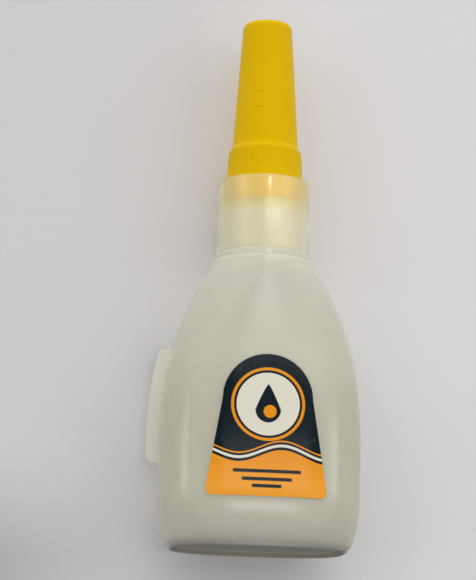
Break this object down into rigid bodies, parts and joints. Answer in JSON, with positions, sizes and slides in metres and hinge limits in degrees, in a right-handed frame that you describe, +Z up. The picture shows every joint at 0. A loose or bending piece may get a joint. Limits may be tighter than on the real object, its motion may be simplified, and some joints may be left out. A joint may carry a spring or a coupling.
{
  "type": "liquid adhesive squeeze bottle",
  "caption": "Flat oval squeeze bottle for liquid adhesive, with a clipped-on nozzle collar and a tall tapered screw cap that holds a sealing pin.",
  "frame": {"origin": "centre of the bottle's base, on the plane that it stands on", "axes": "+Z up the bottle's axis to the cap, -Y out of the front label, +X across the bottle's width"},
  "size_m": [0.037, 0.0224, 0.0978],
  "materials": {
    "milky_polyethylene": "milky translucent, satin",
    "natural_polyethylene": "natural translucent, satin",
    "yellow_polypropylene": "moulded, semi-gloss",
    "pin_steel": "drawn wire",
    "printed_film": "printed film, glossy",
    "pale_film": "plain film, satin",
    "clear_adhesive": "clear liquid"
  },
  "bodies": {
    "bottle": {"bottle": "milky_polyethylene", "nozzle": "natural_polyethylene", "front_label": "printed_film", "back_label": "pale_film", "adhesive_fill": "clear_adhesive"},
    "pin": {"sealing_pin": "pin_steel"},
    "cap": {"cap": "yellow_polypropylene"}
  },
  "joints": [
    {"name": "cap_lift", "type": "slide", "parent": "bottle", "child": "pin", "axis": [0, 0, 1], "range_m": [0, 0.03]},
    {"name": "cap_turn", "type": "hinge", "parent": "pin", "child": "cap", "pos_m": [0, 0, 0.0893], "axis": [0, 0, 1], "range_deg": [0, 2160]}
  ],
  "couplings": [
    {"joint": "cap_turn", "follows": "cap_lift", "rad_per_m": 1256.6}
  ]
}
